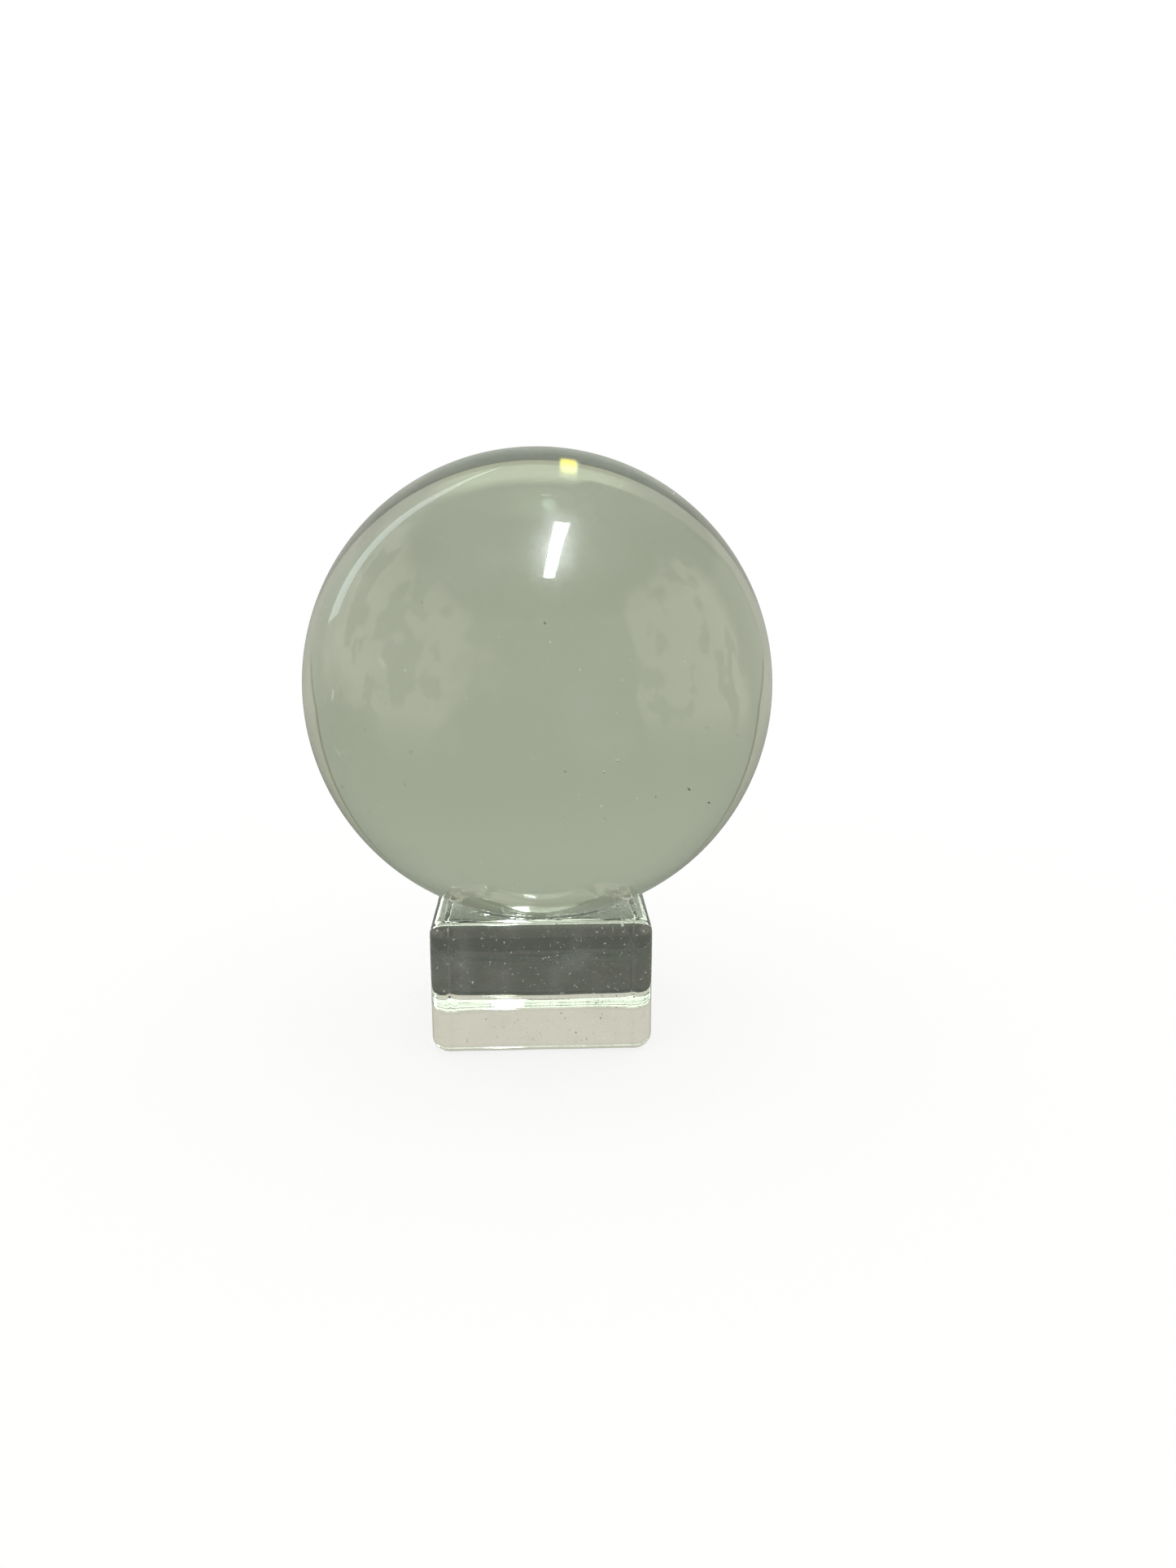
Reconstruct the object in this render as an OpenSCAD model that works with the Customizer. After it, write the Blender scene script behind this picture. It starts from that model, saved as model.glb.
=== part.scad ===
// Glass ball resting in the dish of a small pressed-glass block.
// Z is up, the origin is under the middle of the block, on the table.

/* [Ball] */
// Diameter of the solid glass ball
ball_d = 80; // [60:1:100]
// Depth of the ball's lowest point below the top of the stand
seat_drop = 3.1; // [2:0.1:3.2]

/* [Stand] */
// Width and depth of the square block
stand_w = 37.5; // [37.5:0.5:60]
// Height of the block, from the table to its flat top
stand_h = 23.2; // [12:0.1:40]
// Radius of the fire-polished edges and corners
edge_r = 2.8; // [1:0.1:2.8]

/* [Fit] */
// Air gap between the ball's lowest point and the dish
seat_gap = 0.1; // [0.05:0.01:0.2]
// How much larger the dish's radius is than the ball's
dish_ease = 0.3; // [0.3:0.05:0.5]

/* [Hidden] */
$fn = 96;

ball_r = ball_d / 2;
ball_z = stand_h - seat_drop + ball_r; // centre of the ball
dish_r = ball_r + dish_ease;
dish_z = stand_h - seat_drop - seat_gap + dish_r; // centre of the dish's sphere
inset = stand_w / 2 - edge_r; // centre line of an edge, from the middle
low_z = edge_r; // centre line of the lower edges
high_z = stand_h - edge_r; // centre line of the upper edges

// A bar of the edge radius between two corners, along X, at a height
module edge_bar(z) {
    for (y = [-inset, inset])
        translate([-inset, y, z])
            rotate([0, 90, 0])
                cylinder(r = edge_r, h = 2 * inset);
}

// A block with every edge and corner rounded to the same radius
module rounded_block() {
    union() {
        translate([-inset, -inset, 0])
            cube([2 * inset, 2 * inset, stand_h]);
        translate([-stand_w / 2, -inset, low_z])
            cube([stand_w, 2 * inset, high_z - low_z]);
        translate([-inset, -stand_w / 2, low_z])
            cube([2 * inset, stand_w, high_z - low_z]);
        for (z = [low_z, high_z]) {
            edge_bar(z);
            rotate([0, 0, 90]) edge_bar(z);
        }
        for (x = [-inset, inset], y = [-inset, inset]) {
            translate([x, y, low_z])
                cylinder(r = edge_r, h = high_z - low_z);
            for (z = [low_z, high_z])
                translate([x, y, z]) sphere(r = edge_r);
        }
    }
}

// Solid glass ball, loose in the dish
module ball() {
    color([0.74, 0.80, 0.70])
        translate([0, 0, ball_z])
            sphere(r = ball_r);
}

// Pressed-glass block with a shallow round dish in its top
module stand() {
    color([0.60, 0.66, 0.62])
        difference() {
            rounded_block();
            translate([0, 0, dish_z]) sphere(r = dish_r);
        }
}

ball();
stand();
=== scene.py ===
import math

import bpy
import numpy as np
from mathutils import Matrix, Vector


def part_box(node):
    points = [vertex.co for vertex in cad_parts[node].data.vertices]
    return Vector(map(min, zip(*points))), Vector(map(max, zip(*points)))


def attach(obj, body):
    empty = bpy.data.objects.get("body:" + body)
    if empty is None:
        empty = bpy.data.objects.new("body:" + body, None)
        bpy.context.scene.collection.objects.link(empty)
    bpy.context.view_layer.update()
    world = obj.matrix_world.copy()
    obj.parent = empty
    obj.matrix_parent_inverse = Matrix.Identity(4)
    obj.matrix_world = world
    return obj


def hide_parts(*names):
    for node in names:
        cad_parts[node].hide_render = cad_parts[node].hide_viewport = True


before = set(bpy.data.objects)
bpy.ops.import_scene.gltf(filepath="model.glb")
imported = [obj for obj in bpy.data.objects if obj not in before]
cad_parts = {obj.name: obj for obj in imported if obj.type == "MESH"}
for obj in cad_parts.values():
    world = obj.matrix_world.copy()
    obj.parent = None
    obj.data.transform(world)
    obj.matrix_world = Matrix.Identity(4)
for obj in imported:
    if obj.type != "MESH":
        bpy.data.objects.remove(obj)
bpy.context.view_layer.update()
print("frame loaded:", sorted(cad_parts))

tau = 2 * math.pi
standLow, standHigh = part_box("stand")
ballLow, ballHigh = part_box("ball")
ballRadius = (ballHigh[2] - ballLow[2]) / 2
ballCentre = (Vector(ballLow) + Vector(ballHigh)) / 2
standWidth = standHigh[0] - standLow[0]
standHeight = standHigh[2]


class Wire:  # a node socket; maths on it adds Math nodes
    def __init__(self, tree, socket=None):
        self.tree = tree
        self.socket = socket

    def node(self, kind, settings=None, sockets=None, out=0):
        made = self.tree.nodes.new(kind)
        for name, value in (settings or {}).items():
            if name == "stops":
                setStops(made.color_ramp.elements, value)
            else:
                setattr(made, name, value)
        for key, value in (sockets or {}).items():
            if isinstance(value, Wire):
                self.tree.links.new(value.socket, made.inputs[key])
            else:
                made.inputs[key].default_value = value
        return Wire(self.tree, made.outputs[out] if made.outputs else None)

    def other(self, name):  # another output of the same node
        return Wire(self.tree, self.socket.node.outputs[name])

    def maths(self, operation, *values):
        return self.node("ShaderNodeMath", {"operation": operation}, dict(enumerate(values)))

    def vector(self, operation, *values):
        return self.node("ShaderNodeVectorMath", {"operation": operation}, dict(enumerate(values)))

    def __add__(self, other):
        return self.maths("ADD", self, other)

    def __radd__(self, other):
        return self.maths("ADD", other, self)

    def __sub__(self, other):
        return self.maths("SUBTRACT", self, other)

    def __rsub__(self, other):
        return self.maths("SUBTRACT", other, self)

    def __mul__(self, other):
        return self.maths("MULTIPLY", self, other)

    def __rmul__(self, other):
        return self.maths("MULTIPLY", other, self)

    def axes(self):
        parts = self.node("ShaderNodeSeparateXYZ", None, {0: self})
        return parts, parts.other("Y"), parts.other("Z")

    def length(self):
        return self.node("ShaderNodeVectorMath", {"operation": "LENGTH"}, {0: self}, out=1)

    def scaled(self, amount):
        return self.node("ShaderNodeVectorMath", {"operation": "SCALE"}, {0: self, "Scale": amount})


def setStops(elements, stops):
    while len(elements) < len(stops):
        elements.new(1.0)
    for element, (place, colour) in zip(elements, stops):
        element.position = place
        element.color = (*colour, 1.0)


def ease(wire, low, high, start=0.0, end=1.0):  # a soft step from start to end
    settings = {"interpolation_type": "SMOOTHSTEP"}
    return wire.node("ShaderNodeMapRange", settings, {0: wire, 1: low, 2: high, 3: start, 4: end})


def blendColour(mask, first, second):
    first, second = [c if isinstance(c, Wire) else (*c, 1.0) for c in (first, second)]
    return mask.node("ShaderNodeMix", {"data_type": "RGBA"}, {0: mask, 6: first, 7: second}, out=2)


def noise(w, place, scale, detail=2.0, seed=0.0, stretch=(1, 1, 1)):  # 0 to 1, about 0.5
    moved = w.node("ShaderNodeMapping", None, {"Vector": place, "Scale": stretch})
    sockets = {"Vector": moved, "W": seed, "Scale": scale, "Detail": detail}
    return w.node("ShaderNodeTexNoise", {"noise_dimensions": "4D"}, sockets)


def newMaterial(name):
    mat = bpy.data.materials.new(name)
    mat.use_nodes = True
    mat.node_tree.nodes.clear()
    return mat, Wire(mat.node_tree)


def plugSurface(w, shader):
    w.node("ShaderNodeOutputMaterial", None, {"Surface": shader})


def linkObject(name, data):
    made = bpy.data.objects.new(name, data)
    bpy.context.scene.collection.objects.link(made)
    return made


cameraPlan = {"back": 0.2032, "height": 0.0881, "aim": (0.0085, 0.0, 0.0426), "lens": 27.03}


def addCamera(plan):
    data = bpy.data.cameras.new("camera")
    data.lens = plan["lens"]
    data.sensor_width = 36.0
    data.clip_start = 0.005
    data.clip_end = 60.0
    camera = linkObject("camera", data)
    camera.location = (0.0, -plan["back"], plan["height"])
    way = Vector(plan["aim"]) - camera.location
    camera.rotation_mode = "QUATERNION"
    camera.rotation_quaternion = way.to_track_quat("-Z", "Y")
    bpy.context.scene.camera = camera


addCamera(cameraPlan)

# the room: white paper to the camera, a reconstructed room to the glass and its polish
roomPlan = {
    "paper": (1.0, 1.0, 1.0),  # what the camera sees round the object
    "wall": (0.62, 0.61, 0.515),  # what the glass sees, from level upwards
    "wallUpper": (0.665, 0.655, 0.56),
    "wallHigh": (0.48, 0.49, 0.38),
    "wallHighLeft": (0.85, 0.85, 0.72),
    "wallBeside": (0.80, 0.73, 0.63),
    "corner": (0.36, 0.345, 0.235),
    "cornerTurn": 55.5,  # degrees round from straight behind
    "cornerDark": (-2.5, -0.8),  # degrees past the corner where its shade comes in
    "cornerPale": (0.0, 1.4),  # and where the wall beside it starts
    "upperFrom": (0.05, 0.40),  # heights of a direction, 0 level to 1 overhead
    "highFrom": (0.62, 0.78),
    "leftFrom": (0.80, 0.88),
    "ceilingFrom": (0.72, 0.85),
    "ceilingTo": (0.22, 0.45),  # how far behind overhead it fades
    "ceiling": (2.30, 2.32, 2.12),  # overhead and in front
    "floorReach": 8.0,
    "floorGap": 0.0001,
}
# the room as the polish mirrors it: turns in degrees round from straight behind
shinePlan = {
    "dark": (0.17, 0.17, 0.16),
    "pale": (1.05, 0.96, 0.85),
    "behind": (0.44, 0.45, 0.40),
    "behindTo": (40.0, 90.0),
    "patchScale": 1.9,
    "fineScale": 5.0,
    "rightFrom": (60.0, 74.0),
    "rightTo": (129.0, 132.0),
    "rightRagged": 30.0,  # how much the patches fray its far end
    "leftFrom": (62.0, 92.0),
    "leftTo": (138.0, 152.0),
    "leftRagged": 70.0,
    "leftSlant": 70.0,
    "topFrom": (0.62, 0.74),  # heights of a direction where both walls end
    "lowFrom": (-0.5, -0.1),
    "lowShare": 0.45,
    "gapsFrom": (0.70, 0.77),
    "gapShare": 0.25,
}
# a dark patch under the object, seen only through the glass, and what lies just past it
darkPatchPlan = {
    "half": 0.0743,  # how far it reaches behind
    "wide": (0.11, 0.17),  # how far to each side, fading out
    "front": (-0.6, -0.2),
    "grain": 260.0,
    "tone": (0.092, 0.101, 0.084),
    "lip": (0.15, 0.125, 0.065),
    "lipWidth": 0.0022,
    "bounce": (1.04, 1.02, 0.83),  # painted bounce light: the paler strip just past its edge
    "bounceStart": (0.74, 0.70, 0.52),
    "bounceFrom": (0.004, 0.008),  # how far past the dark patch it reaches full tone
    "beside": (0.74, 0.69, 0.60),
    "besideFrom": (0.012, 0.030),
    "bounceEnd": 0.106,
    "bounceNear": 0.095,  # where the strip ends on the other side
    "edgeSlope": 0.39,  # the strip's far edge runs outwards on a slant
    "edgeStart": 0.065,
    "turnPlace": (-0.013, -0.007),  # across, where one side's strip gives way to the other's
    "edgeSoft": (0.003, 0.014),
    "lineFrom": (-0.06, -0.035),  # a thin dark line past the strip, on the left only
    "lineStrength": 0.2,
    "cornerFrom": (0.2, 0.35),  # how far aside the room's corners start to show
    "glintAt": (-0.0070, 0.0675),  # painted glint: lamp light focused on the dark patch's edge
    "glintWidth": 0.0018,
    "glintLength": 0.031,
    "glintTones": [(0.0, (0.9, 0.5, 0.02)), (0.25, (3.2, 2.7, 0.1)), (0.5, (2.6, 2.5, 1.0)),
                   (1.0, (0.9, 0.9, 0.7))],
}


def turnOf(w, way):  # degrees round from straight behind, positive to the right
    x, y = way.axes()[:2]
    return w.maths("ARCTAN2", x, y) * (360 / tau)


def withCorner(aside, plan, tone):  # the corner's shade and the wall beside it
    low, high = [plan["cornerTurn"] + v for v in plan["cornerDark"]]
    tone = blendColour(ease(aside, low, high), tone, plan["corner"])
    low, high = [plan["cornerTurn"] + v for v in plan["cornerPale"]]
    return blendColour(ease(aside, low, high), tone, plan["wallBeside"])


def shineRoom(w, way, plan):  # two pale walls in front, left and right, broken up
    way = w.vector("NORMALIZE", way)
    turn = turnOf(w, way)
    patch = noise(w, way, plan["patchScale"], 3.0, 12.0)
    fine = noise(w, way, plan["fineScale"], 3.0, 2.0)
    frayed = turn + (patch - 0.5) * plan["rightRagged"]
    right = ease(turn, *plan["rightFrom"]) * ease(frayed, *plan["rightTo"], 1.0, 0.0)
    turned = turn * -1.0 + (patch - 0.5) * plan["leftRagged"]
    rise = way.axes()[2]
    left = ease(turned + rise * plan["leftSlant"], *plan["leftFrom"])
    left = left * ease(turned, *plan["leftTo"], 1.0, 0.0)
    rise = rise + (patch - 0.5) * 0.5
    lit = ease(rise, *plan["topFrom"], 1.0, 0.0) * ease(rise, *plan["lowFrom"], plan["lowShare"], 1.0)
    broken = ease(fine + patch * 0.6, *plan["gapsFrom"], plan["gapShare"], 1.0) * lit
    tone = blendColour(ease(w.maths("ABSOLUTE", turn), *plan["behindTo"]), plan["behind"], plan["dark"])
    return blendColour(w.maths("MAXIMUM", left, right) * broken, tone, plan["pale"])


def addWorld(plan, shine):
    world = bpy.data.worlds.new("room")
    bpy.context.scene.world = world
    world.use_nodes = True
    world.node_tree.nodes.clear()
    w = Wire(world.node_tree)
    seen = w.node("ShaderNodeTexCoord", out=0)
    aside = w.maths("ABSOLUTE", turnOf(w, seen))
    across, ahead, height = seen.axes()
    path = w.node("ShaderNodeLightPath")
    room = blendColour(ease(height, *plan["upperFrom"]), plan["wall"], plan["wallUpper"])
    room = withCorner(aside, plan, room)
    room = blendColour(ease(height, *plan["highFrom"]), room, plan["wallHigh"])
    leftward = ease(height, *plan["leftFrom"]) * ease(across, -0.06, 0.0, 1.0, 0.0)
    room = blendColour(leftward, room, plan["wallHighLeft"])
    overhead = ease(height, *plan["ceilingFrom"]) * ease(ahead, *plan["ceilingTo"], 1.0, 0.0)
    room = blendColour(overhead, room, plan["ceiling"])
    room = blendColour(path.other("Is Reflection Ray"), room, shineRoom(w, seen, shine))
    plain = w.maths("MAXIMUM", path, path.other("Is Diffuse Ray"))
    shown = blendColour(plain, room, plan["paper"])
    back = w.node("ShaderNodeBackground", None, {"Color": shown, "Strength": 1.0})
    w.node("ShaderNodeOutputWorld", None, {"Surface": back})


def darkPatchColour(w, place, plan, darkPatch):  # the surface under and behind the object, as glass sees it
    x, y = place.axes()[:2]
    side = w.maths("ABSOLUTE", x)
    aside = w.maths("ABSOLUTE", turnOf(w, place))
    cornered = withCorner(aside, plan, plan["wall"])
    wall = blendColour(ease(side, *darkPatch["cornerFrom"]), plan["wall"], cornered)
    # a paler strip of painted bounce light just past the dark patch, ending on a ragged slant
    end = ease(x, *darkPatch["turnPlace"], darkPatch["bounceNear"], darkPatch["bounceEnd"])
    end = w.maths("MAXIMUM", end, side * darkPatch["edgeSlope"] + darkPatch["edgeStart"])
    begun = ease(y - darkPatch["half"], *darkPatch["bounceFrom"])
    strip = blendColour(begun, darkPatch["bounceStart"], darkPatch["bounce"])
    strip = blendColour(ease(side, *darkPatch["besideFrom"]), strip, darkPatch["beside"])
    past = w.maths("DIVIDE", y - end, ease(x, *darkPatch["turnPlace"], *darkPatch["edgeSoft"]))
    line = ease(past, -0.2, 0.2) * ease(past, 1.6, 3.2, 1.0, 0.0)
    line = line * ease(x, *darkPatch["lineFrom"], darkPatch["lineStrength"], 0.0)
    wall = blendColour(line * ease(side, 0.15, 0.25, 1.0, 0.0), wall, plan["corner"])
    tone = blendColour(ease(past, -1.0, 0.0), strip, wall)
    half, lip = darkPatch["half"], darkPatch["lipWidth"]
    near = ease(y, half - 0.0002, half + 0.0004, 1.0, 0.0)
    wide = ease(side, *darkPatch["wide"], 1.0, 0.0) * ease(y, *darkPatch["front"])
    tone = blendColour(near * wide, tone, darkPatch["lip"])
    grain = noise(w, place, darkPatch["grain"], 3.0)
    top = blendColour(grain, tuple(c * 0.8 for c in darkPatch["tone"]), tuple(c * 1.2 for c in darkPatch["tone"]))
    dark = ease(y, half - lip, half - lip * 0.4, 1.0, 0.0)
    tone = blendColour(dark * wide, tone, top)
    # a painted glint: a short yellow streak of focused lamp light on the floor
    off = w.maths("ABSOLUTE", x - darkPatch["glintAt"][0])
    along = (y - darkPatch["glintAt"][1]) * (1 / darkPatch["glintLength"])
    shine = w.node("ShaderNodeValToRGB", {"stops": darkPatch["glintTones"]}, {0: along})
    wide = darkPatch["glintWidth"]
    inside = ease(off, wide * 0.6, wide * 1.35, 1.0, 0.0)
    inside = inside * ease(along, -0.05, 0.10) * ease(along, 0.45, 1.0, 1.0, 0.0)
    return blendColour(inside, tone, shine)


def addFloor(plan, darkPatch, shine):
    mesh = bpy.data.meshes.new("floor")
    reach = plan["floorReach"]
    low = -plan["floorGap"]
    corners = [(-reach, -reach, low), (reach, -reach, low), (reach, reach, low), (-reach, reach, low)]
    mesh.from_pydata(corners, [], [(0, 1, 2, 3)])
    floor = linkObject("floor", mesh)
    mat, w = newMaterial("floorPaper")
    place = w.node("ShaderNodeTexCoord", out=3)
    away = place.length()
    path = w.node("ShaderNodeLightPath")
    matt = w.node("ShaderNodeBsdfDiffuse", None, {"Color": (0.93, 0.93, 0.925, 1)})
    glow = w.node("ShaderNodeEmission", None, {"Color": (*plan["paper"], 1)})
    paper = w.node("ShaderNodeMixShader", None, {0: ease(away, 0.03, 0.30, 0.8, 1.0), 1: matt, 2: glow})
    under = darkPatchColour(w, place, plan, darkPatch)
    mirrored = shineRoom(w, w.vector("SUBTRACT", place, tuple(ballCentre)), shine)
    mirrored = blendColour(ease(away, 0.06, 0.5), tuple(c * 2.5 for c in darkPatch["tone"]), mirrored)
    seen = blendColour(path.other("Is Reflection Ray"), under, mirrored)
    table = w.node("ShaderNodeEmission", None, {"Color": seen})
    plain = w.maths("MAXIMUM", path, path.other("Is Diffuse Ray"))
    plugSurface(w, w.node("ShaderNodeMixShader", None, {0: plain, 1: table, 2: paper}))
    mat.cycles.emission_sampling = "NONE"
    mesh.materials.append(mat)


addWorld(roomPlan, shinePlan)
addFloor(roomPlan, darkPatchPlan, shinePlan)
print("room ready")

# a tube lamp and a window; the window shows only by reflection
lampPlan = {
    "height": 2.0,  # above the ball's centre
    "width": 0.170,
    "back": (0.294, -0.075),
    "front": (0.176, -1.271),
    "tone": (0.93, 0.98, 1.0),
    "strength": 60.0,
    "windowReach": 1.6,
    "windowTurn": (-60.0, -10.0),  # degrees round from straight behind, from its foot to its tip
    "windowCrown": (-26.0, 49.2),  # turn and height of its highest point
    "windowSpread": (38.5, 44.0),  # how far it would reach to the left and right of that
    "windowBend": 2.7,
    "windowThick": (8.2, 1.0),  # at the foot and at the tip
    "windowSteps": 18,
    "windowTone": (0.88, 1.0, 0.98),
    "windowStrength": 1.9,
}


def addCard(name, corners, colour, strength, inGlass=False):
    mesh = bpy.data.meshes.new(name)
    mesh.from_pydata([tuple(c) for c in corners], [], quadStrip(len(corners) // 2))
    mat, w = newMaterial(name + "Glow")
    plugSurface(w, w.node("ShaderNodeEmission", None, {"Color": (*colour, 1), "Strength": strength}))
    mat.cycles.emission_sampling = "NONE"
    mesh.materials.append(mat)
    card = linkObject(name, mesh)
    card.visible_camera = False
    card.visible_diffuse = False
    card.visible_shadow = False
    card.visible_transmission = inGlass


def quadStrip(pairs):
    return [(2 * i, 2 * i + 1, 2 * i + 3, 2 * i + 2) for i in range(pairs - 1)]


def direction(azimuth, elevation):  # azimuth 0 is along +Y, positive towards +X
    a, e = math.radians(azimuth), math.radians(elevation)
    return Vector((math.sin(a) * math.cos(e), math.cos(a) * math.cos(e), math.sin(e)))


def addTube(plan):
    z = ballCentre.z + plan["height"]
    half = plan["width"] / 2
    corners = []
    for x, y in (plan["front"], plan["back"]):
        corners += [(x - half, y, z), (x + half, y, z)]
    addCard("tube", corners, plan["tone"], plan["strength"], True)


def addWindow(plan):  # an arched strip behind and to the left
    corners = []
    foot, tip = plan["windowTurn"]
    crown, top = plan["windowCrown"]
    for i in range(plan["windowSteps"] + 1):
        t = (i / plan["windowSteps"]) ** 1.5
        azimuth = foot + (tip - foot) * t
        spread = plan["windowSpread"][0 if azimuth < crown else 1]
        height = top * (1 - (abs(azimuth - crown) / spread) ** plan["windowBend"])
        thick = plan["windowThick"][0] * (1 - t) + plan["windowThick"][1] * t
        outer = direction(azimuth + 0.8 * thick, height - 0.6 * thick)
        corners += [ballCentre + direction(azimuth, height) * plan["windowReach"],
                    ballCentre + outer * plan["windowReach"]]
    addCard("window", corners, plan["windowTone"], plan["windowStrength"])


addTube(lampPlan)
addWindow(lampPlan)
print("lamps ready")

glassPlan = {
    "bend": 1.52,
    "ballTint": (0.585, 0.655, 0.583),
    "ballTintDeep": (0.562, 0.636, 0.562),
    "standTint": (0.935, 0.937, 0.918),
    "film": (0.80, 0.84, 0.86),  # dust and fingermarks
    "ballFilm": 0.035,
    "standFilm": 0.055,
    "haze": 0.8,
    "hazeRoughness": 0.26,
    "ballDust": 0.25,
    "standDust": 0.35,
    "rimWear": 0.8,
}
# rubbed spots on the ball: turn and height in degrees from its centre, reach in metres, grain, strength
scuffPlan = [
    {"turn": -147, "height": 13, "reach": 0.0030, "grain": 900.0, "strength": 0.30},
    {"turn": -128, "height": 4, "reach": 0.0042, "grain": 700.0, "strength": 0.26},
    {"turn": -132, "height": -9, "reach": 0.0050, "grain": 800.0, "strength": 0.16},
    {"turn": 170, "height": 36, "reach": 0.0024, "grain": 1100.0, "strength": 0.12},
]


def surfaceSpot(turn, height):
    return ballCentre + direction(turn, height) * ballRadius


def scuffMask(w, place, scuff):  # broken flecks that thin out from one spot
    gone = w.vector("SUBTRACT", place, tuple(surfaceSpot(scuff["turn"], scuff["height"]))).length()
    flecks = ease(noise(w, place, scuff["grain"], 2.0, 6.0, (1.0, 1.0, 0.5)), 0.58, 0.68)
    return flecks * ease(gone, scuff["reach"] * 0.2, scuff["reach"], scuff["strength"], 0.0)


def filmed(w, glass, factor, colour):  # pale residue lying on the glass
    residue = w.node("ShaderNodeBsdfDiffuse", None, {"Color": (*colour, 1)})
    return w.node("ShaderNodeMixShader", None, {0: factor, 1: glass, 2: residue})


def ballGlass(plan):
    mat, w = newMaterial("ballGlass")
    place = w.node("ShaderNodeTexCoord", out=3)
    cloud = ease(noise(w, place, 22.0, 3.0, 7.0), 0.3, 0.7)
    tint = blendColour(cloud, plan["ballTint"], plan["ballTintDeep"])
    streak = ease(noise(w, place, 260.0, 3.0, 5.0, (0.15, 1.0, 1.0)), 0.35, 0.72, 0.55, 1.0)
    wiped = ease(noise(w, place, 30.0, 3.0, 2.0), 0.30, 0.62, 0.55, 1.0)
    ripple = noise(w, place, 60.0, 1.0, 9.0)
    bump = w.node("ShaderNodeBump", None, {"Strength": 0.06, "Distance": 0.00002, "Height": ripple})
    sockets = {"Base Color": tint, "Transmission Weight": 1.0, "IOR": plan["bend"], "Roughness": 0.0,
               "Coat Weight": wiped * streak * plan["haze"], "Coat Roughness": plan["hazeRoughness"],
               "Normal": bump}
    glass = w.node("ShaderNodeBsdfPrincipled", None, sockets)
    prints = ease(noise(w, place, 48.0, 4.0, 3.0), 0.50, 0.66)
    dust = ease(noise(w, place, 1500.0, 1.0, 8.0), 0.74, 0.80)
    factor = prints * streak * plan["ballFilm"] + dust * plan["ballDust"]
    for scuff in scuffPlan:
        factor = w.maths("MAXIMUM", factor, scuffMask(w, place, scuff))
    plugSurface(w, filmed(w, glass, factor, plan["film"]))
    return mat


def rimWear(w, place, plan, rimOut):  # white flecks where the ball has knocked the dish's rim
    x, y, z = place.axes()
    flat = w.node("ShaderNodeCombineXYZ", None, {0: x, 1: y}).length()
    top = ease(z, standHeight - 0.0018, standHeight - 0.0009)
    close = ease(w.maths("ABSOLUTE", flat - rimOut), 0.0003, 0.0014, 1.0, 0.0)
    knocks = ease(noise(w, place, 560.0, 2.0, 11.0, (1.0, 1.0, 0.5)), 0.565, 0.60) * close
    patch = ease(noise(w, place, 110.0, 1.0, 13.0), 0.50, 0.58) * ease(flat, rimOut, rimOut + 0.001)
    specks = ease(noise(w, place, 1300.0, 1.0, 12.0), 0.62, 0.66) * patch
    return w.maths("MAXIMUM", knocks, specks) * top * plan["rimWear"]


def standGlass(plan, rimOut):
    mat, w = newMaterial("standGlass")
    place = w.node("ShaderNodeTexCoord", out=3)
    cloud = ease(noise(w, place, 90.0, 2.0, 3.0), 0.3, 0.7)
    tint = blendColour(cloud, plan["standTint"], tuple(c * 0.985 for c in plan["standTint"]))
    ripple = noise(w, place, 420.0, 2.0, 1.0, (1.0, 1.0, 0.4))
    bump = w.node("ShaderNodeBump", None, {"Strength": 0.10, "Distance": 0.00003, "Height": ripple})
    wiped = ease(noise(w, place, 180.0, 4.0, 6.0), 0.5, 0.75)
    sockets = {"Base Color": tint, "Transmission Weight": 1.0, "IOR": plan["bend"], "Roughness": 0.0,
               "Coat Weight": wiped * 0.35, "Coat Roughness": 0.25, "Normal": bump}
    glass = w.node("ShaderNodeBsdfPrincipled", None, sockets)
    upright = ease(noise(w, place, 330.0, 3.0, 4.0, (1.0, 1.0, 0.10)), 0.52, 0.75)
    blotch = ease(noise(w, place, 150.0, 5.0, 5.0), 0.50, 0.72)
    dust = ease(noise(w, place, 1700.0, 1.0, 8.0), 0.67, 0.75)
    factor = (upright * 0.8 + blotch) * plan["standFilm"] + dust * plan["standDust"]
    facet = w.node("ShaderNodeBsdfAnisotropic", None, {"Color": (0.96, 1.0, 0.96, 1), "Roughness": 0.4})
    clean = filmed(w, glass, factor, plan["film"])
    worn = rimWear(w, place, plan, rimOut)
    plugSurface(w, w.node("ShaderNodeMixShader", None, {0: worn, 1: clean, 2: facet}))
    return mat


speckPlan = {
    "seedShine": {"scale": 900.0, "dark": (0.80, 0.84, 0.78), "pale": (0.97, 1.0, 0.95),
                  "finish": {"Metallic": 1.0, "Roughness": 0.08}},  # the silvery skin of a bubble
    "gritAndPaintedGlint": {"scale": 1500.0, "dark": (0.82, 0.86, 0.82), "pale": (0.97, 0.99, 0.95),
                 "finish": {"Roughness": 0.5}},  # bright specks of dust, and of trapped air shown as painted white glints
    "stoneDark": {"scale": 1500.0, "dark": (0.02, 0.015, 0.01), "pale": (0.08, 0.06, 0.04),
                  "finish": {"Roughness": 0.6}},  # unmelted grit
}


def speckFinish(name):
    plan = speckPlan[name]
    mat, w = newMaterial(name)
    place = w.node("ShaderNodeTexCoord", out=3)
    tone = blendColour(noise(w, place, plan["scale"]), plan["dark"], plan["pale"])
    plugSurface(w, w.node("ShaderNodeBsdfPrincipled", None, {"Base Color": tone, **plan["finish"]}))
    return mat


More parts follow.
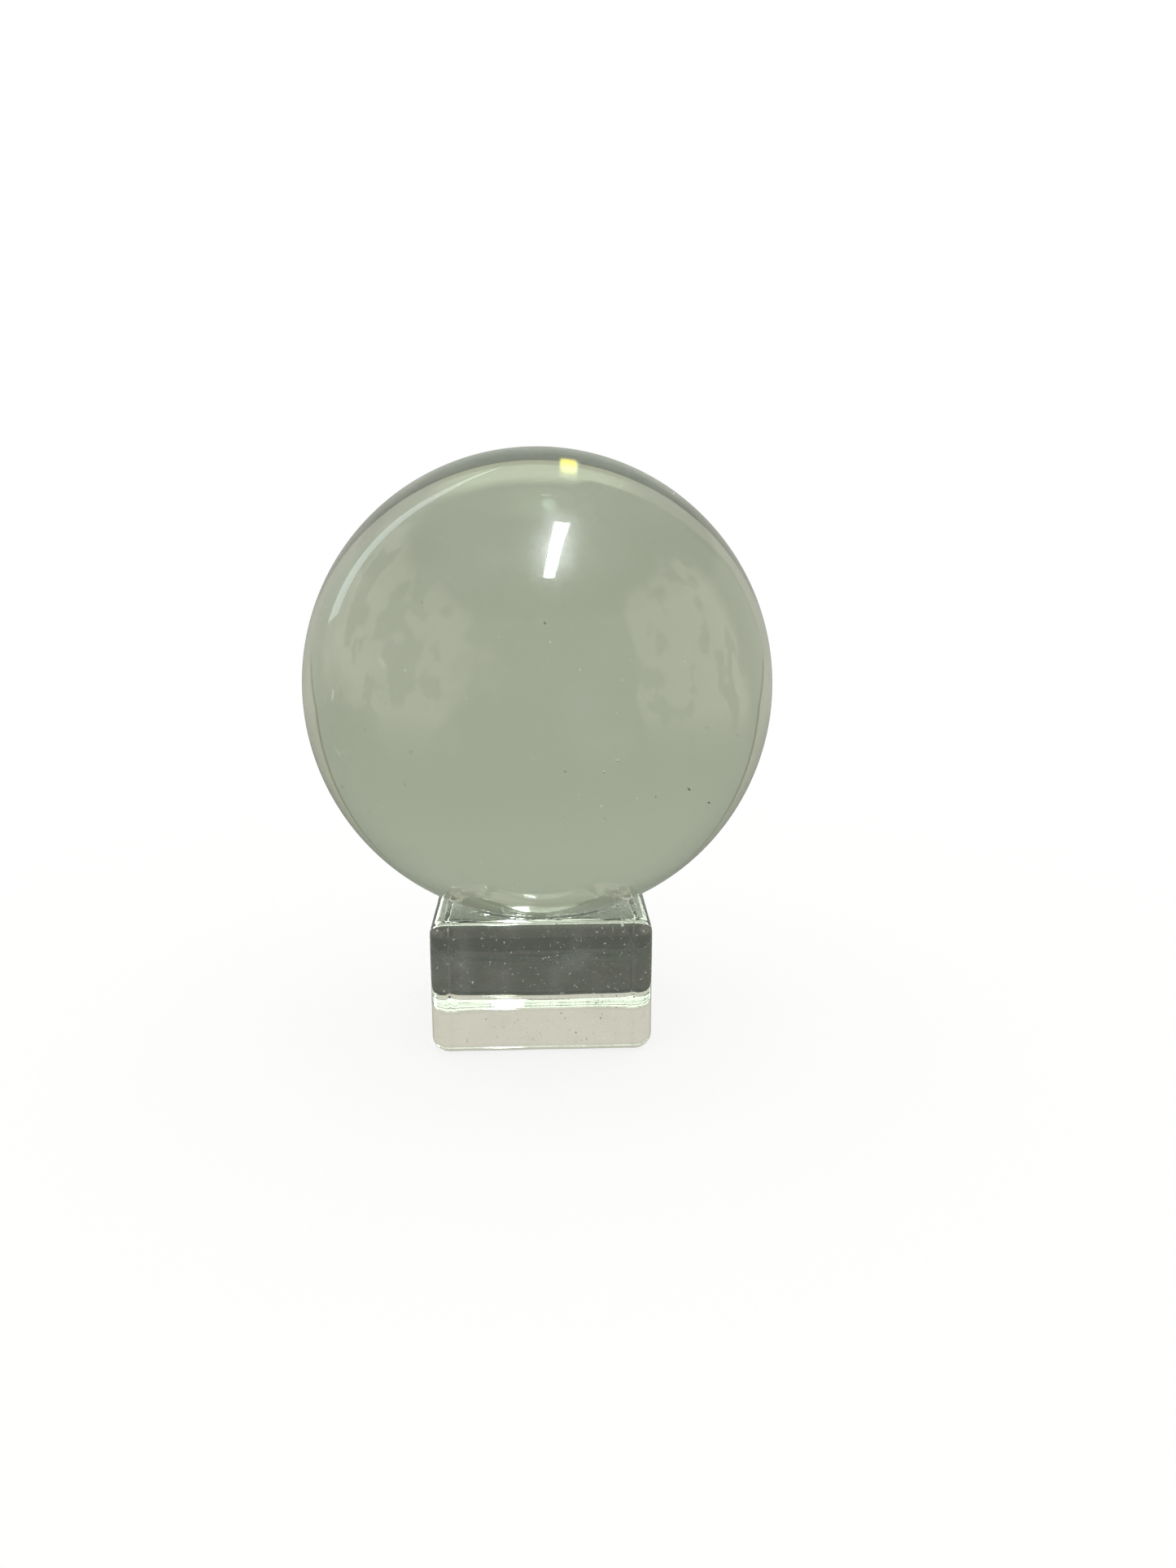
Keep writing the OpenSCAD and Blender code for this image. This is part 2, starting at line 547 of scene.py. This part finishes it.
def startTree(name, inputs):
    tree = bpy.data.node_groups.new(name, "GeometryNodeTree")
    for label, kind, value in inputs:
        made = tree.interface.new_socket(name=label, in_out="INPUT", socket_type="NodeSocket" + kind)
        if value is not None:
            made.default_value = value
    tree.interface.new_socket(name="Mesh", in_out="OUTPUT", socket_type="NodeSocketGeometry")
    w = Wire(tree)
    given = w.node("NodeGroupInput")
    return tree, w, {label: given.other(label) for label, kind, value in inputs}


def endTree(w, mesh, finish):
    real = w.node("GeometryNodeRealizeInstances", None, {0: mesh})
    done = w.node("GeometryNodeSetMaterial", None, {0: real, "Material": finish})
    w.node("NodeGroupOutput", None, {0: done})


def randomVector(w, low, high, seed):
    return w.node("FunctionNodeRandomValue", {"data_type": "FLOAT_VECTOR"}, {0: low, 1: high, 8: seed})


def randomFloat(w, low, high, seed):
    return w.node("FunctionNodeRandomValue", {"data_type": "FLOAT"}, {2: low, 3: high, 8: seed}, out=1)


def formNoise(w, where, scale, seed, detail=0.0):
    sockets = {"Vector": where, "W": seed, "Scale": scale, "Detail": detail}
    return w.node("ShaderNodeTexNoise", {"noise_dimensions": "4D"}, sockets)


def grow(host, tree, values):  # run a tree on an object and keep the result as a plain mesh
    modifier = host.modifiers.new("form", "NODES")
    modifier.node_group = tree
    sockets = {s.name: s.identifier for s in tree.interface.items_tree if s.in_out == "INPUT"}
    for key, value in values.items():
        modifier[sockets[key]] = value
    graph = bpy.context.evaluated_depsgraph_get()
    mesh = bpy.data.meshes.new_from_object(host.evaluated_get(graph))
    host.modifiers.clear()
    old = host.data
    mesh.name = host.name
    host.data = mesh
    bpy.data.meshes.remove(old)
    return host


def keep(piece, body, slot, *nodes):
    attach(piece, body)
    if nodes:
        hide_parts(*nodes)
    print(piece.name, len(piece.data.polygons), "faces")


ballPlan = {"steps": 7, "waver": 0.00003, "waverScale": 45.0, "seed": 3}


def ballForm():
    tree, w, given = startTree("ballForm", [
        ("Radius", "Float", 0.04), ("Steps", "Int", 7), ("Centre", "Vector", (0, 0, 0)),
        ("Waver", "Float", 0.0), ("Waver scale", "Float", 45.0), ("Seed", "Float", 0.0),
        ("Finish", "Material", None)])
    sphere = w.node("GeometryNodeMeshIcoSphere", None,
                    {"Radius": given["Radius"], "Subdivisions": given["Steps"]})
    place = w.node("GeometryNodeInputPosition")
    out = w.vector("NORMALIZE", place)
    rough = formNoise(w, place, given["Waver scale"], given["Seed"], 1.0)
    push = out.scaled(rough * given["Waver"] * -1.0)
    moved = w.node("GeometryNodeSetPosition", None, {0: sphere, "Offset": push})
    smooth = w.node("GeometryNodeSetShadeSmooth", None, {0: moved})
    placed = w.node("GeometryNodeTransform", None, {0: smooth, "Translation": given["Centre"]})
    endTree(w, placed, given["Finish"])
    return tree


ball = linkObject("ballPiece", bpy.data.meshes.new("ballPiece"))
grow(ball, ballForm(), {
    "Radius": ballRadius, "Steps": ballPlan["steps"], "Centre": tuple(ballCentre),
    "Waver": ballPlan["waver"], "Waver scale": ballPlan["waverScale"], "Seed": float(ballPlan["seed"]),
    "Finish": ballGlass(glassPlan)})
keep(ball, "ball", "ball_glass", "ball")

# bubbles, pale grit and dust whose white also stands in for painted glints, and dark stones shut in the
# glass
seedPlan = {
    "ballSeeds": {"count": 40, "small": 0.00005, "large": 0.00018, "seed": 11},
    "ballGrit": {"count": 34, "small": 0.00005, "large": 0.00018, "seed": 31},
    "ballStones": {"count": 4, "small": 0.00006, "large": 0.00012, "seed": 7},
    "standSeeds": {"count": 60, "small": 0.00004, "large": 0.00018, "seed": 21},
    "standGrit": {"count": 105, "small": 0.00004, "large": 0.00018, "seed": 41},
    "standStones": {"count": 4, "small": 0.00006, "large": 0.00014, "seed": 8},
}


def seedCloud():
    tree, w, given = startTree("seedCloud", [
        ("Count", "Int", 10), ("Low", "Vector", (0, 0, 0)), ("High", "Vector", (0, 0, 0)),
        ("Centre", "Vector", (0, 0, 0)), ("Reach", "Float", 1.0),
        ("Small", "Float", 0.0001), ("Large", "Float", 0.0002), ("Seed", "Int", 0),
        ("Finish", "Material", None)])
    spot = randomVector(w, given["Low"], given["High"], given["Seed"])
    points = w.node("GeometryNodePoints", None, {"Count": given["Count"], "Position": spot})
    place = w.node("GeometryNodeInputPosition")
    away = w.node("ShaderNodeVectorMath", {"operation": "DISTANCE"}, {0: place, 1: given["Centre"]}, out=1)
    outside = away.maths("GREATER_THAN", away, given["Reach"])
    inside = w.node("GeometryNodeDeleteGeometry", {"domain": "POINT"}, {0: points, "Selection": outside})
    bead = w.node("GeometryNodeMeshUVSphere", None, {"Radius": 1.0, "Segments": 8, "Rings": 6})
    rare = w.maths("POWER", randomFloat(w, 0.0, 1.0, given["Seed"] + 1), 2.5)  # mostly small ones
    size = given["Small"] + rare * (given["Large"] - given["Small"])
    squash = randomVector(w, (0.7, 0.7, 0.9), (1.0, 1.0, 1.5), given["Seed"] + 2)
    scale = squash.scaled(size)
    turn = randomVector(w, (0, 0, 0), (0.6, 0.6, 6.28), given["Seed"] + 3)
    sown = w.node("GeometryNodeInstanceOnPoints", None,
                  {"Points": inside, "Instance": bead, "Scale": scale, "Rotation": turn})
    real = w.node("GeometryNodeRealizeInstances", None, {0: sown})
    smooth = w.node("GeometryNodeSetShadeSmooth", None, {0: real})
    endTree(w, smooth, given["Finish"])
    return tree


def sowSeeds(name, body, slot, tree, finish, low, high, centre, reach):
    plan = seedPlan[name]
    host = linkObject(name, bpy.data.meshes.new(name))
    grow(host, tree, {
        "Count": plan["count"], "Low": tuple(low), "High": tuple(high), "Centre": tuple(centre),
        "Reach": reach, "Small": plan["small"], "Large": plan["large"], "Seed": plan["seed"],
        "Finish": finish})
    keep(host, body, slot)


seedTree = seedCloud()
blockMiddle = Vector((0, 0, standHeight / 2))
skin = 0.0015  # clear glass left outside the specks
underDish = 0.0046
blockLow = Vector((standLow[0] + skin, standLow[1] + skin, 0.0012))
blockHigh = Vector((standHigh[0] - skin, standHigh[1] - skin, standHeight - underDish))
for kind, shine in (("Seeds", "seedShine"), ("Grit", "gritAndPaintedGlint"), ("Stones", "stoneDark")):
    finish = speckFinish(shine)
    sowSeeds("ball" + kind, "ball", "ball_glass", seedTree, finish, ballLow, ballHigh, ballCentre,
             ballRadius * 0.95)
    sowSeeds("stand" + kind, "stand", "stand_glass", seedTree, finish, blockLow, blockHigh, blockMiddle, 1.0)

standPlan = {
    "upperEdge": 0.0026,  # mean radius of the upper edge
    "lowerEdge": 0.0025,
    "edgeWobble": 0.06,
    "footSwell": 0.3,  # how much rounder the back lower corners are
    "corner": 0.0033,  # radius of the upright corners
    "rim": 0.0006,  # rounding where the dish meets the flat top
    "dishEase": 0.0003,
    "gap": 0.0001,
    "sideSteps": 84,
    "cornerSteps": 26,
    "wallSteps": 40,
    "dishSteps": 22,
    "rimSteps": 6,
    "landSteps": 8,
    "edgeSteps": 14,
    "baseSteps": 8,
    "wave": 0.00014,
    "waveScale": 95.0,
    "drag": 0.00004,
    "dragScale": 260.0,
    "chip": 0.00080,
    "chipScale": 700.0,
    "seed": 4,
}


def blockOutline(plan):  # points and outward directions round the block, seen from above
    half, radius = standWidth / 2, plan["corner"]
    reach = half - radius
    spots, ways = [], []
    for quarter in range(4):
        turn = quarter * tau / 4
        across = np.array([[math.cos(turn), math.sin(turn)], [-math.sin(turn), math.cos(turn)]])
        for i in range(plan["sideSteps"]):
            spots.append(np.array([half, reach * (2 * i / plan["sideSteps"] - 1)]) @ across)
            ways.append(np.array([1.0, 0.0]) @ across)
        for i in range(plan["cornerSteps"]):
            a = i / plan["cornerSteps"] * tau / 4
            way = np.array([math.cos(a), math.sin(a)])
            spots.append((np.array([reach, reach]) + radius * way) @ across)
            ways.append(way @ across)
    return np.array(spots), np.array(ways)


def wobble(count, seed):  # a smooth closed wave round the block, -1 to 1
    draw = np.random.default_rng(seed)
    turn = np.arange(count) / count * tau
    wave = sum(draw.uniform(0.4, 1.0) * np.sin(n * turn + draw.uniform(0, tau)) for n in (1, 2, 3, 5, 8, 13))
    return wave / np.abs(wave).max()


def seatShape(plan):  # dish radius, its centre's height, rim circle radius and its angle
    radius = ballRadius + plan["dishEase"]
    height = ballLow[2] - plan["gap"] + radius
    drop = height - standHeight + plan["rim"]
    out = math.sqrt((radius + plan["rim"]) ** 2 - drop ** 2)
    return radius, height, out, math.atan2(out, drop)


def standMesh(plan):
    spots, ways = blockOutline(plan)
    count = len(spots)
    half = standWidth / 2
    upper = plan["upperEdge"] * (1 + plan["edgeWobble"] * wobble(count, plan["seed"]))
    lower = plan["lowerEdge"] * (1 + plan["edgeWobble"] * wobble(count, plan["seed"] + 1))
    back = np.clip(spots[:, 1] / half, 0, 1) ** 4
    swell = np.abs(spots[:, 0] / half) ** 2 * np.where(spots[:, 0] < 0, 1.0, 0.55)
    lower = lower * (1 + plan["footSwell"] * back * swell)
    inward = half - plan["corner"] - np.abs(spots[:, 0])
    lower = np.minimum(lower, 0.96 * plan["corner"] + 0.5 * np.clip(inward, 0, None))  # no fold in a corner
    dishRadius, dishHeight, rimOut, rimTurn = seatShape(plan)
    touch = dishRadius * math.sin(rimTurn)
    land = spots - ways * upper[:, None]
    turn = np.arctan2(land[:, 1], land[:, 0])
    ringOut = np.stack([np.cos(turn), np.sin(turn)], 1)
    rings = []

    def ring(flat, z):
        rings.append(np.column_stack([flat, np.broadcast_to(z, count)]))

    dishSteps, rimSteps, landSteps = plan["dishSteps"], plan["rimSteps"], plan["landSteps"]
    edgeSteps, baseSteps = plan["edgeSteps"], plan["baseSteps"]
    for i in range(1, dishSteps + 1):  # dish, from its middle to the rim, closer together outwards
        r = touch * (1 - (1 - i / dishSteps) ** 1.6)
        ring(r * ringOut, dishHeight - math.sqrt(dishRadius ** 2 - r * r))
    for i in range(1, rimSteps + 1):  # rounded rim
        a = rimTurn * (1 - i / rimSteps)
        r = rimOut - plan["rim"] * math.sin(a)
        ring(r * ringOut, standHeight - plan["rim"] * (1 - math.cos(a)))
    for i in range(1, landSteps + 1):  # flat land, from round to square
        ring((1 - i / landSteps) * rimOut * ringOut + i / landSteps * land, standHeight)
    for i in range(1, edgeSteps + 1):  # upper edge
        a = i / edgeSteps * tau / 4
        ring(spots - ways * (upper * (1 - math.sin(a)))[:, None], standHeight - upper * (1 - math.cos(a)))
    for i in range(1, plan["wallSteps"]):
        t = i / plan["wallSteps"]
        ring(spots, (1 - t) * (standHeight - upper) + t * lower)
    for i in range(edgeSteps + 1):  # lower edge
        a = i / edgeSteps * tau / 4
        ring(spots - ways * (lower * (1 - math.cos(a)))[:, None], lower * (1 - math.sin(a)))
    foot = spots - ways * lower[:, None]
    for i in range(1, baseSteps + 1):  # base
        ring(foot * (1 - i / (baseSteps + 1)), 0.0)
    points = [(0.0, 0.0, dishHeight - dishRadius)]
    points += [tuple(p) for one in rings for p in one]
    points.append((0.0, 0.0, 0.0))
    faces = [(0, 1 + i, 1 + (i + 1) % count) for i in range(count)]
    for k in range(len(rings) - 1):
        a, b = 1 + k * count, 1 + (k + 1) * count
        faces += [(a + i, b + i, b + (i + 1) % count, a + (i + 1) % count) for i in range(count)]
    last = 1 + (len(rings) - 1) * count
    faces += [(last + i, len(points) - 1, last + (i + 1) % count) for i in range(count)]
    mesh = bpy.data.meshes.new("standPiece")
    mesh.from_pydata(points, [], faces)
    mesh.shade_smooth()
    return mesh


def fireWave():  # what mould and flame leave: slow waves, drag lines, small chips round the dish
    tree, w, given = startTree("fireWave", [
        ("Form", "Geometry", None), ("Wave", "Float", 0.0001), ("Wave scale", "Float", 90.0),
        ("Drag", "Float", 0.00003), ("Drag scale", "Float", 260.0), ("Chip", "Float", 0.0002),
        ("Chip scale", "Float", 900.0), ("Rim", "Float", 0.016), ("Top", "Float", 0.02),
        ("Seed", "Float", 0.0), ("Finish", "Material", None)])
    place = w.node("GeometryNodeInputPosition")
    x, y, height = place.axes()
    flat = w.node("ShaderNodeCombineXYZ", None, {0: x, 1: y}).length()
    out = w.node("GeometryNodeInputNormal")
    slow = formNoise(w, place, given["Wave scale"], given["Seed"]) * given["Wave"]
    tall = w.vector("MULTIPLY", place, (1.0, 1.0, 0.15))
    drag = formNoise(w, tall, given["Drag scale"], given["Seed"] + 5.0, 1.0) * given["Drag"]
    nearRim = ease(w.maths("ABSOLUTE", flat - given["Rim"]), 0.0003, 0.0009, 1.0, 0.0)
    nearRim = nearRim * ease(given["Top"] - height, 0.0006, 0.0012, 1.0, 0.0)
    chips = ease(formNoise(w, place, given["Chip scale"], given["Seed"] + 9.0, 1.0), 0.52, 0.70)
    where = ease(formNoise(w, place, given["Wave scale"], given["Seed"] + 12.0), 0.38, 0.50)
    free = ease(height, 0.0, 0.0004)  # the base stays flat
    amount = slow + drag + chips * where * nearRim * given["Chip"]
    push = out.scaled(amount * free * -1.0)
    moved = w.node("GeometryNodeSetPosition", None, {0: given["Form"], "Offset": push})
    smooth = w.node("GeometryNodeSetShadeSmooth", None, {0: moved})
    endTree(w, smooth, given["Finish"])
    return tree


stand = linkObject("standPiece", standMesh(standPlan))
grow(stand, fireWave(), {
    "Wave": standPlan["wave"], "Wave scale": standPlan["waveScale"], "Drag": standPlan["drag"],
    "Drag scale": standPlan["dragScale"], "Chip": standPlan["chip"], "Chip scale": standPlan["chipScale"],
    "Rim": seatShape(standPlan)[2], "Top": standHeight, "Seed": float(standPlan["seed"]),
    "Finish": standGlass(glassPlan, seatShape(standPlan)[2])})
keep(stand, "stand", "stand_glass", "stand")

bpy.context.scene.view_settings.view_transform = "Standard"
